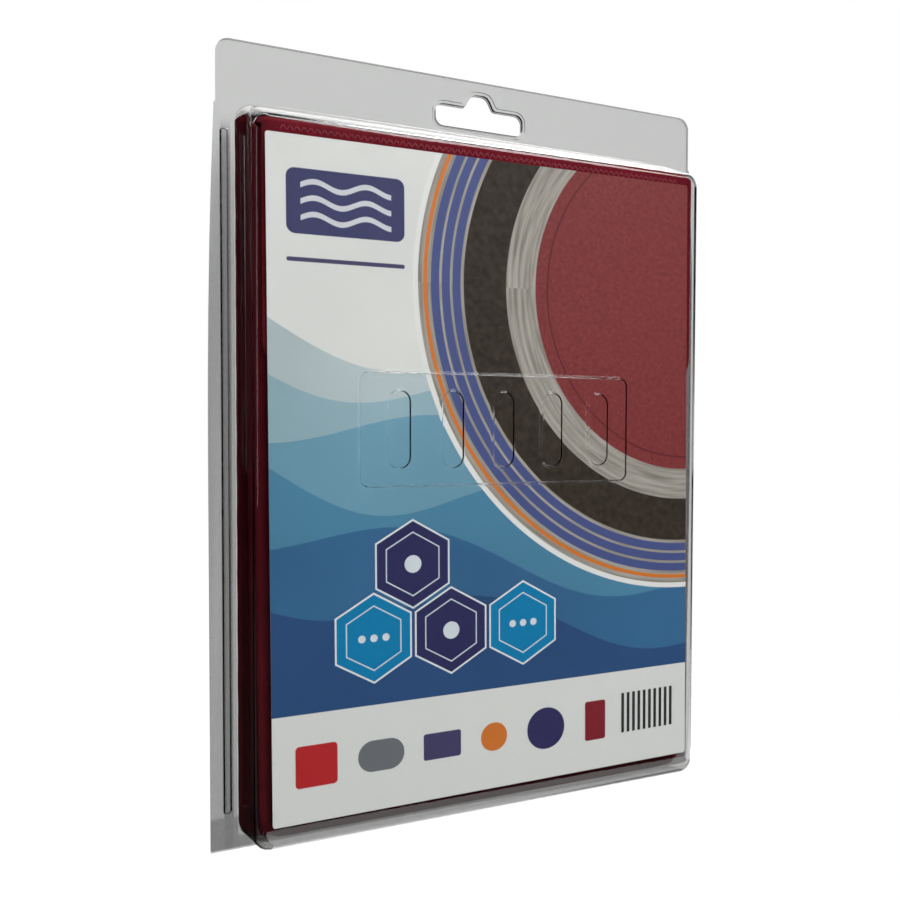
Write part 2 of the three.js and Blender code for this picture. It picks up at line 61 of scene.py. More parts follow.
# Sizes in millimetres. A point is (across, depth, height): depth runs forward from the
# back face and height up from the fold, as in the part's source.
MM = 0.001
SLOT_TOP = 231.2
TAPE = 0.4
TAPE_CLOTH = 0.35
TAPE_SWAY = 0.05
REST_GAP = 0.3
SQUARE_CORNER = 0.001

COVER_CLOTH = 0.7
COVER_HALF = 74.4
COVER_LOW = 5.2
COVER_BACK_TOP = 214.8
COVER_BACK_CORNER = 2.2
COVER_MOUTH = 207.0
COVER_WALL_TOP = 213.6
COVER_WALL_HALF = 72.6
COVER_WALL_LOW = 7.0
COVER_WALL_FOOT = 14.0
COVER_FACE_HALF = 69.0
COVER_SHOULDER = 3.5
COVER_SEAM_BEND = 0.6
COVER_CORNER = 4.0
COVER_BACK_PANEL = (1.5, 2.2)
COVER_SEAM_DEPTH = 3.2
COVER_FRONT_PANEL = (13.6, 14.3)
COVER_RISE = COVER_FRONT_PANEL[1] - COVER_SEAM_DEPTH
COVER_TAPE = (0.8, 3.9)
COVER_TAPE_LIP = 0.9
COVER_TAPE_FLARE = 0.6
MOUTH_TAPE = (12.9, 15.0)
MOUTH_TAPE_HALF = 67.6
MOUTH_TAPE_LIP = 2.7

FLAP_CLOTH = 0.8
FLAP_HALF = 70.8
FLAP_FOLD = (1.7, 216.4)
FLAP_SHOULDER = 209.0
FLAP_SHOULDER_RADIUS = 2.6
FLAP_FRONT = 17.0
FLAP_LOW = 139.0
FLAP_CORNER = 9.0
FLAP_DROOP = 1.9
FOLD_CLOTH = 0.25
FOLD_HALF = FLAP_HALF + 0.7
# (depth, height) from the flap over the fold and down the back panel.
FOLD_LINE = [
    (5.6, 215.2), (4.4, 215.75), (3.2, 216.3), (2.3, 216.65),
    (1.95, 216.0), (2.25, 214.8), (2.35, 212.9), (2.35, 210.4),
]

CLOSURE_HALF = 55.0
CLOSURE_LOW = 145.0
CLOSURE_HEIGHT = 20.0
CLOSURE_CORNER = 1.5
LOOP_STRIP = (14.6, 15.1)
HOOK_STRIP = (15.4, 15.9)

POUCH_HALF = 68.0
POUCH_LOW = 12.0
POUCH_TOP = 200.0
POUCH_CORNER = 0.6
POUCH_PLY = 0.5
POUCH_PANELS = {"rear": 2.5, "front": 10.4}
POUCH_DEPTH = (2.5, 13.3)
POUCH_TAPE_LIP = 4.0
CHANNELS = 5
CHANNEL_SWELL = 0.8
CHANNEL_MARGIN = 4.0
CHANNEL_END = 7.0
CHANNEL_TAPER = 7.0
SEAM_GAP = 0.3

CARD_FRONT = 17.7
CARD_MIDDLE = 109.2
CARD_SKEW = 0.4

# Where painted shade on the clear sheet and the cloth starts and where it is full, from the first place
# to the second.
FLANGE_PAINTED_SHADE = (76.0, 76.6)
FLANGE_TOP_PAINTED_SHADE = (219.0, 190.0)
FOLD_PAINTED_SHADE = (4.6, 3.6)
PAINTED_STRIPE_RIGHT = (-77.3, -77.9)
PAINTED_STRIPE_LEFT = (-80.6, -80.0)
PAINTED_STRIPE_TOP = (214.0, 205.0)
LOWEST_PAINTED_SHADE = (10.4, 9.2)
PAINTED_STREAK_DEPTH = (225.0, 150.0)
SIDE_PAINTED_SHADE = (67.0, 69.8)
FOOT_PAINTED_SHADE = (15.5, 12.5)

# Sewing. A seam has a pitch and a swing, a reach two ends, and a thread a radius.
WALL_SEAM = (1.9, 3.0)
WALL_SEAM_REACH = (12.0, 210.5)
WALL_SEAM_DEPTH = 6.6
WALL_THREAD = 0.2
OVERCAST = (1.2, 1.3)
OVERCAST_SIDE = (10.0, 201.0)
OVERCAST_FOOT = (-68.0, 68.0)
OVERCAST_IN = 0.35
MOUTH_SEAM = (0.95, 1.6)
MOUTH_SEAM_REACH = (-63.15, 63.2)
MOUTH_SEAM_BELOW = 0.9
MOUTH_THREAD = 0.14
SHOULDER_SEAM = (0.95, 1.5)
SHOULDER_SEAM_REACH = (-66.0, 66.0)
SHOULDER_SEAM_HEIGHT = 206.6
SHOULDER_THREAD = 0.17
RUN_PITCH = 2.6
RUN_LENGTH = 2.0
RUN_IN = 7.0
SIDE_RUN = (12.0, 209.0)
BACK_RUN = (-66.0, 66.0)
BACK_RUN_BELOW = 4.0
BACK_THREAD = 0.15
PAD_RUN = (-53.0, 53.0)
PAD_RUN_IN = 1.0
LEAF_RUN = (-60.0, 60.0)
LEAF_RUN_UP = 2.2
LEAF_THREAD = 0.16
SUNK = 0.02
PAD_SUNK = 0.03
HEM_SUNK = 0.06
LEAF_SUNK = 0.5

# The camera fitted to the photograph: turns in degrees, place in metres, lens and sensor in
# millimetres.
CAMERA_YAW, CAMERA_PITCH, CAMERA_ROLL = 21.07, 1.6, 0.132
CAMERA_PLACE = (-0.098989, -0.232642, -0.1070)
CAMERA_LENS = 30.85
CAMERA_SENSOR = 36.0

# The studio, in degrees and metres. Azimuth 0 is in front of the pack, 90 to its right.
# Each lamp has an azimuth, elevation, distance, width, height and radiance, and says whether
# the clear shells mirror it.
PACK_MIDDLE = Vector((0, -0.01, -0.115))
LAMPS = {
    "top_back": (158, 37, 1.3, 1.5, 0.7, 1.6, False),
    "front_key": (25, 25, 1.6, 1.6, 1.6, 3.9, False),
    "front_fill": (-30, 10, 1.4, 1.2, 1.2, 0.3, False),
    "left_fill": (-95, 20, 1.4, 1.2, 1.2, 1.7, False),
    "left_strip": (-69, 10, 1.4, 0.3, 0.8, 1.6, True),
    "back_fill": (165, 15, 1.6, 1.4, 1.0, 4.0, False),
    "rear_spark": (128, 63, 1.2, 0.3, 0.7, 14.0, True),
    "top_spark": (38, 54, 1.1, 0.6, 0.5, 7.5, True),
}
# Each patch of the mirrored room has an azimuth, an elevation, the cosines at which it starts
# and is full, and a radiance.
BRIGHT_REAR = (145, 5, 0.6, 0.95, 0.8)
BRIGHT_WINDOW = (160, 38, 0.84, 0.93, 1.7)

# The floor lies below the front shell where that hangs open.
FLOOR_SIZE = 12
FLOOR_BELOW = 0.015
FLOOR_GLOW_REACH = (0.35, 0.12)
FLOOR_GLOW = 0.35
GLINT_PLACE = (0.091, -0.0185)
GLINT_BELOW = 0.0002
GLINT_SIZE = (0.318, 0.047, 1.0)
GLINT_GLOW = 1.85


# Camera and light
def make_camera():
    yaw, roll = math.radians(CAMERA_YAW), math.radians(CAMERA_ROLL)
    forward = -direction(-CAMERA_YAW, CAMERA_PITCH)
    level = Vector((math.cos(yaw), -math.sin(yaw), 0.0))
    upward = level.cross(forward)
    right = level * math.cos(roll) + upward * math.sin(roll)
    up = upward * math.cos(roll) - level * math.sin(roll)
    data = bpy.data.cameras.new("photo_camera")
    data.sensor_width = CAMERA_SENSOR
    data.lens = CAMERA_LENS
    data.clip_start = 0.01
    camera = bpy.data.objects.new("photo_camera", data)
    turn = Matrix((right, up, -forward)).transposed()
    camera.matrix_world = Matrix.Translation(CAMERA_PLACE) @ turn.to_4x4()
    bpy.context.scene.collection.objects.link(camera)
    bpy.context.scene.camera = camera


def direction(azimuth, elevation):
    """Unit vector towards a place in the studio."""
    a, e = math.radians(azimuth), math.radians(elevation)
    return Vector((math.sin(a) * math.cos(e), -math.cos(a) * math.cos(e), math.sin(e)))


def soft_box(name, azimuth, elevation, distance, width, height, radiance, mirrored):
    """An area light that faces the pack."""
    way = direction(azimuth, elevation)
    light = bpy.data.lights.new(name, "AREA")
    light.shape = "RECTANGLE"
    light.size, light.size_y = width, height
    light.energy = radiance * math.pi * width * height
    lamp = bpy.data.objects.new(name, light)
    lamp.location = PACK_MIDDLE + way * distance
    lamp.rotation_mode = "QUATERNION"
    lamp.rotation_quaternion = way.to_track_quat("Z", "Y")
    lamp.visible_camera = False
    lamp.visible_glossy = mirrored
    lamp.visible_transmission = False
    bpy.context.scene.collection.objects.link(lamp)


def make_backdrop():
    """White all round. The clear shells mirror a bright right rear and a window above it,
    and a dark room elsewhere."""
    world = bpy.data.worlds.new("studio")
    world.use_nodes = True
    web = Nodes(world.node_tree)
    way = web.add("ShaderNodeTexCoord").outputs["Generated"]

    def patch(azimuth, elevation, start, full, radiance):
        nearness = web.add("ShaderNodeVectorMath", operation="DOT_PRODUCT")
        web.join(way, nearness.inputs[0])
        nearness.inputs[1].default_value = direction(azimuth, elevation)
        return web.smooth(nearness.outputs["Value"], start, full, radiance)

    room = web.plus(patch(*BRIGHT_REAR), patch(*BRIGHT_WINDOW))
    straight = web.before_mirror()
    strength = web.most(straight, web.times(room, web.minus(1.0, straight)))
    background = world.node_tree.nodes["Background"]
    web.give(background, {"Color": (1.0, 1.0, 1.0), "Strength": strength})
    world.cycles_visibility.diffuse = False
    bpy.context.scene.world = world


def glowing_plane(name, size, place, matter, glow):
    """A flat plane that shows its own light."""
    bpy.ops.mesh.primitive_plane_add(size=size, location=place)
    plane = bpy.context.object
    plane.name = name
    matter.shader((0.02, 0.02, 0.02), roughness=1.0, specular=0.0)
    matter.glow((1.0, 1.0, 1.0), glow)
    plane.data.materials.append(matter.material)
    plane.visible_diffuse = False
    return plane


def make_floor():
    """A pale floor. Once mirrored, only the part of it near the pack glows."""
    matter = Matter("pale_floor")
    floor = glowing_plane("floor", FLOOR_SIZE, (0, 0, 2 * cad_low.z - FLOOR_BELOW), matter, 1.0)
    near = matter.smooth(matter.length(matter.x, matter.y), *FLOOR_GLOW_REACH)
    strength = matter.most(matter.before_mirror(), matter.times(near, FLOOR_GLOW))
    matter.join(strength, matter.surface.inputs["Emission Strength"])
    floor.visible_glossy = False


def make_glint():
    """A bright strip under the pack that only the shells mirror."""
    place = (*GLINT_PLACE, cad_low.z - GLINT_BELOW)
    glint = glowing_plane("floor_glint", 1, place, Matter("floor_shine"), GLINT_GLOW)
    glint.scale = GLINT_SIZE
    glint.visible_camera = False
    glint.visible_shadow = False
    glint.visible_transmission = False


def make_studio():
    bpy.context.scene.view_settings.view_transform = "Standard"
    make_backdrop()
    for name in LAMPS:
        soft_box(name, *LAMPS[name])
    make_floor()
    make_glint()


# Materials
def z_at(height):
    """A height above the fold in millimetres, as the frame's z in metres."""
    return (height - SLOT_TOP) * MM


def srgb(red, green, blue):
    """A linear colour from 0 to 255 values."""
    parts = (part / 255 for part in (red, green, blue))
    return tuple(part / 12.92 if part <= 0.04045 else ((part + 0.055) / 1.055) ** 2.4 for part in parts)


def shaded(colour, share):
    return tuple(part * share for part in colour)


class Nodes:
    """A node tree, built up from small steps."""

    def __init__(self, tree):
        self.tree = tree

    def add(self, kind, **settings):
        made = self.tree.nodes.new(kind)
        for name, value in settings.items():
            setattr(made, name, value)
        return made

    def join(self, source, target):
        self.tree.links.new(source, target)

    def feed(self, target, value):
        if isinstance(value, bpy.types.NodeSocket):
            self.join(value, target)
        elif value is not None:
            target.default_value = (*value, 1.0) if target.type == "RGBA" else value

    def give(self, node, values):
        """Set or link a node's named inputs."""
        for name, value in values.items():
            self.feed(node.inputs[name], value)

    def math(self, operation, *values, clamp=False):
        made = self.add("ShaderNodeMath", operation=operation, use_clamp=clamp)
        for socket, value in zip(made.inputs, values):
            self.feed(socket, value)
        return made.outputs[0]

    def times(self, first, second, clamp=False):
        return self.math("MULTIPLY", first, second, clamp=clamp)

    def plus(self, first, second):
        return self.math("ADD", first, second)

    def minus(self, first, second):
        return self.math("SUBTRACT", first, second)

    def most(self, first, second):
        return self.math("MAXIMUM", first, second)

    def size(self, value):
        return self.math("ABSOLUTE", value)

    def scaled(self, value, factor, start):
        """The value times the factor, counted from the start."""
        return self.math("MULTIPLY_ADD", value, factor, start)

    def length(self, first, second):
        """Length of a flat vector."""
        return self.math("SQRT", self.plus(self.times(first, first), self.times(second, second)))

    def smooth(self, value, start, end, full=1.0):
        """0 at the start and full at the end, with an even passage between."""
        made = self.add("ShaderNodeMapRange", interpolation_type="SMOOTHSTEP")
        for socket, given in zip(made.inputs[:5], (value, start, end, 0.0, full)):
            self.feed(socket, given)
        return made.outputs[0]

    def before_mirror(self):
        """1 on a ray that no surface has mirrored yet, and 0 after that."""
        path = self.add("ShaderNodeLightPath")
        return self.math("LESS_THAN", path.outputs["Glossy Depth"], 0.5)


class Matter(Nodes):
    """A material, placed by object coordinates."""

    def __init__(self, name):
        self.material = bpy.data.materials.new(name)
        self.material.use_nodes = True
        super().__init__(self.material.node_tree)
        self.tree.nodes.clear()
        self.output = self.add("ShaderNodeOutputMaterial")
        self.place = self.add("ShaderNodeTexCoord").outputs["Object"]
        split = self.add("ShaderNodeSeparateXYZ")
        self.join(self.place, split.inputs[0])
        self.x, self.y, self.z = split.outputs
        self.surface = None

    def across_fade(self, value, places):
        """Smooth between two places across, in millimetres."""
        return self.smooth(value, *(place * MM for place in places))

    def height_fade(self, heights):
        """Smooth between two heights above the fold, in millimetres."""
        return self.smooth(self.z, *(z_at(height) for height in heights))

    def mix(self, share, first, second):
        made = self.add("ShaderNodeMix", data_type="RGBA")
        self.feed(made.inputs["Factor"], share)
        self.feed(made.inputs[6], first)
        self.feed(made.inputs[7], second)
        return made.outputs[2]

    def noise(self, scale, detail=3.0, rough=0.5, stretch=None):
        place = self.place
        if stretch:
            scaled = self.add("ShaderNodeMapping")
            self.give(scaled, {"Scale": stretch, "Vector": place})
            place = scaled.outputs[0]
        made = self.add("ShaderNodeTexNoise")
        self.give(made, {"Scale": scale, "Detail": detail, "Roughness": rough, "Vector": place})
        return made.outputs["Fac"]

    def ramp(self, value, *stops):
        made = self.add("ShaderNodeValToRGB")
        self.feed(made.inputs[0], value)
        for _ in stops[2:]:
            made.color_ramp.elements.new(0.5)
        for element, (position, colour) in zip(made.color_ramp.elements, stops):
            element.position = position
            element.color = (*colour, 1.0)
        return made.outputs[0]

    def bump(self, height, strength, distance):
        made = self.add("ShaderNodeBump")
        self.give(made, {"Strength": strength, "Distance": distance, "Height": height})
        return made.outputs[0]

    def shader(self, colour, roughness, normal=None, sheen=0.0, specular=0.5, sheen_tint=(1, 1, 1)):
        self.surface = self.add("ShaderNodeBsdfPrincipled")
        self.give(self.surface, {
            "Base Color": colour, "Roughness": roughness, "Specular IOR Level": specular,
            "Sheen Weight": sheen, "Sheen Roughness": 0.4, "Sheen Tint": sheen_tint,
            "Normal": normal,
        })
        self.join(self.surface.outputs[0], self.output.inputs["Surface"])

    def glow(self, colour, strength):
        self.give(self.surface, {"Emission Color": colour, "Emission Strength": strength})


def woven(name, light, dark, pitch, thread_bump=0.5, sheen_tint=(1, 0.1, 0.15), painted_edge_shade=0.0):
    """Cloth: crossed threads of the pitch in millimetres, with slubs and soft mottling. A painted
    edge shade darkens it along the wallet's sides and, more so, as a painted shadow along its foot."""
    matter = Matter(name)
    turns = 2 * math.pi / (pitch * MM)
    warp = matter.math("SINE", matter.times(matter.plus(matter.x, matter.y), turns))
    weft = matter.math("SINE", matter.times(matter.z, turns))
    weave = matter.scaled(matter.times(warp, weft), 0.5, 0.5)
    slub = matter.noise(900.0, detail=2.0, stretch=(1.0, 1.0, 0.25))
    mottle = matter.noise(60.0, detail=4.0, rough=0.6)
    share = matter.scaled(weave, 0.45, matter.times(slub, 0.35))
    share = matter.plus(share, matter.scaled(mottle, 0.5, -0.15))
    colour = matter.ramp(share, (0.15, dark), (0.85, light))
    if painted_edge_shade:
        # Painted shade along the sides, and a deeper painted shadow along the foot.
        side = matter.across_fade(matter.size(matter.x), SIDE_PAINTED_SHADE)
        foot = matter.times(matter.height_fade(FOOT_PAINTED_SHADE), matter.minus(1.0, side))
        colour = matter.mix(matter.times(side, 0.35 * painted_edge_shade), colour, shaded(dark, 0.6))
        colour = matter.mix(matter.times(foot, painted_edge_shade), colour, shaded(dark, 0.15))
    normal = matter.bump(matter.scaled(slub, 0.5, weave), thread_bump, 0.0002)
    matter.shader(colour, matter.scaled(mottle, 0.12, 0.79), normal, 0.05, 0.03, sheen_tint)
    return matter.material


def clear_plastic(name, tint, edge_tint, shade, ripple_bump):
    """Clear formed sheet, darker where seen edge on. Painted shade darkens it on its flanges, in
    streaks that deepen lower down, on a narrow band of the left one and at its foot. It bends
    and mirrors light like glass, and it lets the lamps through with the shade alone."""
    matter = Matter(name)
    wave = matter.noise(28.0, detail=2.0, stretch=(1.0, 1.0, 0.6))
    facing = matter.add("ShaderNodeLayerWeight")
    matter.give(facing, {"Blend": 0.5})
    edge_on = matter.math("POWER", facing.outputs["Facing"], 2.5)

    # Painted shade on the flanges beside the tray and on the fold, in streaks that deepen lower down.
    beside = matter.across_fade(matter.size(matter.x), FLANGE_PAINTED_SHADE)
    beside = matter.times(beside, matter.height_fade(FLANGE_TOP_PAINTED_SHADE))
    streaks = matter.noise(260.0, detail=2.0, stretch=(1.0, 1.0, 0.04))
    depth = matter.scaled(matter.height_fade(PAINTED_STREAK_DEPTH), 0.4, 0.3)
    depth = matter.scaled(streaks, 0.5, depth)
    painted_flange_shade = matter.times(matter.most(beside, matter.height_fade(FOLD_PAINTED_SHADE)), depth, clamp=True)

    # A painted dark band on the left flange, and painted shade along the lowest edge.
    painted_stripe = matter.across_fade(matter.x, PAINTED_STRIPE_RIGHT)
    painted_stripe = matter.times(painted_stripe, matter.across_fade(matter.x, PAINTED_STRIPE_LEFT))
    painted_stripe = matter.times(painted_stripe, matter.height_fade(PAINTED_STRIPE_TOP))
    painted_stripe = matter.most(painted_stripe, matter.times(matter.height_fade(LOWEST_PAINTED_SHADE), 0.8))

    # The painted shade is laid on as a darker tint.
    colour = matter.mix(painted_flange_shade, tint, shaded(tint, 0.72))
    colour = matter.mix(matter.times(painted_stripe, 0.5), colour, shaded(tint, 0.4))
    glass = matter.add("ShaderNodeBsdfPrincipled")
    matter.give(glass, {
        "Base Color": matter.mix(edge_on, colour, edge_tint), "Roughness": 0.03, "IOR": 1.5,
        "Transmission Weight": 1.0, "Normal": matter.bump(wave, ripple_bump, 0.0006),
    })
    through = matter.add("ShaderNodeBsdfTransparent")
    matter.give(through, {"Color": shade})
    path = matter.add("ShaderNodeLightPath")
    unseen = matter.most(path.outputs["Is Shadow Ray"], path.outputs["Is Diffuse Ray"])
    blend = matter.add("ShaderNodeMixShader")
    for socket, source in zip(blend.inputs, (unseen, glass.outputs[0], through.outputs[0])):
        matter.join(source, socket)
    matter.join(blend.outputs[0], matter.output.inputs["Surface"])
    return matter.material


def velvety(name, light, dark, scale):
    """The fuzz of a hook or loop strip."""
    matter = Matter(name)
    fuzz = matter.noise(scale, detail=4.0, rough=0.7)
    colour = matter.ramp(fuzz, (0.35, dark), (0.65, light))
    matter.shader(colour, 0.95, matter.bump(fuzz, 0.9, 0.0004), 0.5, 0.1, (1, 0.75, 0.75))
    return matter.material


def thread(name, light, dark):
    """Twisted sewing thread."""
    matter = Matter(name)
    along = matter.plus(matter.plus(matter.x, matter.y), matter.z)
    share = matter.scaled(matter.math("SINE", matter.times(along, 9000.0)), 0.3, 0.5)
    colour = matter.ramp(share, (0.2, dark), (0.8, light))
    matter.shader(colour, 0.55, matter.bump(share, 0.4, 0.0001), 0.2, 0.4)
    return matter.material


def granular(name):
    """Dry cooling crystals."""
    matter = Matter(name)
    cells = matter.add("ShaderNodeTexVoronoi")
    matter.give(cells, {"Scale": 700.0, "Vector": matter.place})
    spot = cells.outputs["Distance"]
    colour = matter.ramp(spot, (0.0, (0.86, 0.87, 0.83)), (0.8, (0.55, 0.57, 0.52)))
    matter.shader(colour, 0.3, matter.bump(spot, 0.8, 0.0006))
    return matter.material


class Print(Matter):
    """A printed card: flat colours laid over each other, placed in card millimetres."""

    def __init__(self, name):
        super().__init__(name)
        turn = math.radians(-CARD_SKEW)
        along, aside = math.cos(turn), math.sin(turn)
        height = self.plus(self.z, (SLOT_TOP - CARD_MIDDLE) * MM)
        across = self.minus(self.times(self.x, along), self.times(height, aside))
        upward = self.plus(self.times(self.x, aside), self.times(height, along))
        self.u = self.math("DIVIDE", across, MM)
        self.v = self.math("DIVIDE", upward, MM)
        self.colour = None

    def lay(self, colour, mask):
        self.colour = self.mix(mask, self.colour, colour)

    def fill(self, colour, distance, edge=0.12):
        """Lay a colour of 0 to 255 values, or a ramp, where the signed distance is below 0."""
        if isinstance(colour, tuple):
            colour = srgb(*colour)
        self.lay(colour, self.smooth(distance, edge, -edge))

    def tones(self, value, *stops):
        """A ramp of colours of 0 to 255 values."""
        return self.ramp(value, *((place, srgb(*colour)) for place, colour in stops))

    def from_centre(self, u, v):
        return self.length(self.minus(self.u, u), self.minus(self.v, v))

    def disc(self, u, v, radius):
        return self.minus(self.from_centre(u, v), radius)

    def ring(self, distance, start, end):
        middle, half = (start + end) / 2, (end - start) / 2
        return self.minus(self.size(self.minus(distance, middle)), half)

    def box(self, u, v, half_u, half_v, radius=0.0):
        past, reach = [], []
        for place, centre, half in ((self.u, u, half_u), (self.v, v, half_v)):
            past.append(self.minus(self.size(self.minus(place, centre)), half - radius))
            reach.append(self.most(past[-1], 0.0))
        within = self.math("MINIMUM", self.most(*past), 0.0)
        return self.minus(self.plus(self.length(*reach), within), radius)

    def hexagon(self, u, v, radius):
        du = self.size(self.minus(self.u, u))
        dv = self.size(self.minus(self.v, v))
        slant = self.plus(self.times(du, 0.5), self.times(dv, math.sqrt(0.75)))
        return self.minus(self.most(du, slant), radius * math.sqrt(0.75))


def print_water(card):
    """Wavy bands: height, swing, turn per millimetre, start and colour of each."""
    bands = [
        (34, 9, 0.050, 0.4, srgb(196, 212, 216)),
        (22, 8, 0.056, 1.3, srgb(158, 192, 204)),
        (7, 9, 0.048, 2.2, srgb(116, 168, 192)),
        (-9, 8, 0.060, 0.9, srgb(82, 144, 178)),
        (-26, 7, 0.052, 2.9, srgb(58, 112, 158)),
        (-43, 6, 0.058, 1.8, srgb(46, 84, 134)),
    ]
    shade = card.noise(16.0, detail=3.0)
    for height, swing, pace, start, colour in bands:
        wave = card.math("SINE", card.scaled(card.u, pace, start))
        edge = card.scaled(card.u, -0.18, card.scaled(wave, swing, height))
        mottled = card.ramp(shade, (0.3, shaded(colour, 0.8)), (0.75, colour))
        card.fill(mottled, card.minus(card.v, edge))


def print_disc(card):
    """Rings of board, cord and cloth round a centre at the card's right edge."""
    centre = (69.4, 58.0)
    reach = card.from_centre(*centre)
    bearing = card.math("ARCTAN2", card.minus(card.v, centre[1]), card.minus(card.u, centre[0]))
    polar = card.add("ShaderNodeCombineXYZ")
    card.give(polar, {"X": card.times(reach, 0.9), "Y": card.times(bearing, 3.0)})
    grain = card.add("ShaderNodeTexNoise")
    card.give(grain, {"Scale": 1.0, "Detail": 5.0, "Vector": polar.outputs[0]})
    shades = (0.3, (128, 122, 112)), (0.5, (160, 155, 146)), (0.7, (182, 178, 170))
    wood = card.tones(grain.outputs["Fac"], *shades)
    dark = card.tones(card.noise(500.0, detail=2.0), (0.3, (44, 38, 32)), (0.7, (66, 57, 48)))
    cloth = card.tones(card.noise(800.0, detail=2.0), (0.3, (118, 44, 46)), (0.7, (138, 56, 56)))
    card.fill((238, 239, 236), card.minus(reach, 97.0))
    card.fill(wood, card.minus(reach, 95.4))
    card.fill((216, 120, 40), card.ring(reach, 92.6, 93.8))
    for start in (82.0, 85.4, 88.8):
        card.fill((74, 86, 140), card.ring(reach, start, start + 2.6))
    card.fill(dark, card.minus(reach, 81.0))
    card.fill(wood, card.minus(reach, 67.0))
    card.fill(cloth, card.minus(reach, 57.0))
    card.fill((100, 36, 40), card.ring(reach, 52.6, 53.2))


def print_hexagons(card):
    """Pale hexagons with three dots and dark ones with one, each in a rim."""
    rim, tile, line = 13.3, 12.7, 9.6
    for u, v, pale in [(-40, -45.5, True), (-16, -45.5, False), (8, -45.5, True), (-28, -24.7, False)]:
        card.fill((232, 238, 240), card.hexagon(u, v, rim))
        card.fill((0, 128, 180) if pale else (46, 46, 92), card.hexagon(u, v, tile))
        card.fill((214, 226, 234), card.ring(card.hexagon(u, v, line), -0.35, 0.0))
        for shift in (-3.6, 0.0, 3.6) if pale else (0.0,):
            card.fill((220, 230, 236), card.disc(u + shift, v, 1.1 if pale else 2.6))


def print_wave_block(card):
    """A dark block with three waves, and a bar beneath it."""
    u, v = -47, 78
    card.fill((62, 64, 108), card.box(u, v, 17, 9, 2.5))
    for height in (73.5, 78.0, 82.5):
        wave = card.math("SINE", card.times(card.u, 0.42))
        line = card.minus(card.v, card.scaled(wave, 1.1, height))
        band = card.minus(card.size(line), 0.75)
        card.fill((216, 220, 226), card.most(band, card.box(u, v, 13, 8, 1)))
    card.fill((70, 66, 104), card.box(u, 62, 17, 0.6, 0.5))


def print_chips(card):
    """A row of plain chips and bars along the foot: place, half sizes, corner and colour."""
    chips = [
        (-57, 6.0, 6.0, 1.2, (186, 40, 44)),
        (-38, 7.0, 4.6, 4.5, (112, 116, 122)),
        (-19, 6.0, 4.0, 0.8, (70, 66, 104)),
        (-2, 4.4, 4.4, 4.3, (214, 120, 48)),
        (16, 6.6, 6.6, 6.5, (52, 48, 96)),
        (34, 3.8, 6.4, 0.8, (132, 34, 46)),
    ]
    for u, half_u, half_v, radius, colour in chips:
        card.fill(colour, card.box(u, -80, half_u, half_v, radius))
    for step in range(10):
        card.fill((40, 40, 42), card.box(44.5 + 2.1 * step, -79, 0.55, 6.6))


def printed_card():
    """A generic design on the card's face, laid from the back to the front. The card's own
    back is bare board."""
    card = Print("printed_board")
    card.colour = card.tones(card.noise(40.0), (0.3, (226, 228, 225)), (0.7, (232, 234, 230)))
    print_water(card)
    print_disc(card)
    card.fill((228, 230, 227), card.plus(card.v, 65.0))
    print_hexagons(card)
    print_wave_block(card)
    print_chips(card)
    behind = card.math("GREATER_THAN", card.y, (0.08 - CARD_FRONT) * MM)
    card.lay(srgb(206, 206, 200), behind)
    gloss = card.scaled(card.noise(120.0, detail=3.0), 0.12, 0.38)
    fibre = card.bump(card.noise(1500.0, detail=2.0), 0.15, 0.0001)
    card.shader(card.colour, gloss, fibre, specular=0.35)
    return card.material


# Meshes
def to_row(points):
    """Row-frame metres from (across, depth, height) millimetres."""
    across, depth, height = np.moveaxis(np.asarray(points, float), -1, 0)
    return np.stack([across, -depth, height - SLOT_TOP], axis=-1) * MM


def make_piece(name, vertices, faces, material, body, crease=38.0):
    mesh = bpy.data.meshes.new(name)
    mesh.from_pydata([tuple(v) for v in vertices], [], faces)
    mesh.validate()
    mesh.materials.append(material)
    mesh.shade_smooth()
    mesh.set_sharp_from_angle(angle=math.radians(crease))
    piece = bpy.data.objects.new(name, mesh)
    bpy.context.scene.collection.objects.link(piece)
    if body:
        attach(piece, body)
    return piece


def cloth_piece(name, grid, thickness, material, body="pack_back", flip=False):
    """A closed piece of cloth. The grid (rows, columns, 3) in millimetres is its outer face,
    which looks to the viewer where rows run up and columns to the right."""
    outer = to_row(grid)
    if flip:
        outer = outer[:, ::-1]
    rows, columns = outer.shape[:2]
    normal = np.cross(np.gradient(outer, axis=1), np.gradient(outer, axis=0))
    normal /= np.maximum(np.linalg.norm(normal, axis=-1, keepdims=True), 1e-12)
    inner = outer - normal * thickness * MM
    vertices = np.stack([outer, inner]).reshape(-1, 3)
    count = rows * columns
    faces = []
    for r in range(rows - 1):
        for c in range(columns - 1):
            a, b = r * columns + c, (r + 1) * columns + c
            faces.append((a, a + 1, b + 1, b))
            faces.append((a + count, b + count, b + 1 + count, a + 1 + count))
    for r in range(rows - 1):
        a, b = r * columns, (r + 1) * columns
        faces.append((a, b, b + count, a + count))
        a, b = a + columns - 1, b + columns - 1
        faces.append((a, a + count, b + count, b))
    top = (rows - 1) * columns
    for c in range(columns - 1):
        faces.append((c, c + count, c + 1 + count, c + 1))
        faces.append((top + c, top + c + 1, top + c + 1 + count, top + c + count))
    return make_piece(name, vertices, faces, material, body)


def spread(low, high, steps, edge, edge_steps):
    """Stations from low to high, closer together within edge of each end."""
    ends = np.linspace(0, edge, edge_steps + 1)
    middle = np.linspace(low + edge, high - edge, steps + 1)
    return np.concatenate([low + ends[:-1], middle, (high - ends[:-1])[::-1]])


def half_at(height, half, low, high, low_radius, high_radius):
    """Half width of a rounded rectangle at a height."""
    for past, radius in ((low - height, low_radius), (height - high, high_radius)):
        past = np.clip(past + radius, 0, radius)
        half = half - (radius - np.sqrt(np.maximum(radius**2 - past**2, 0)))
    return half


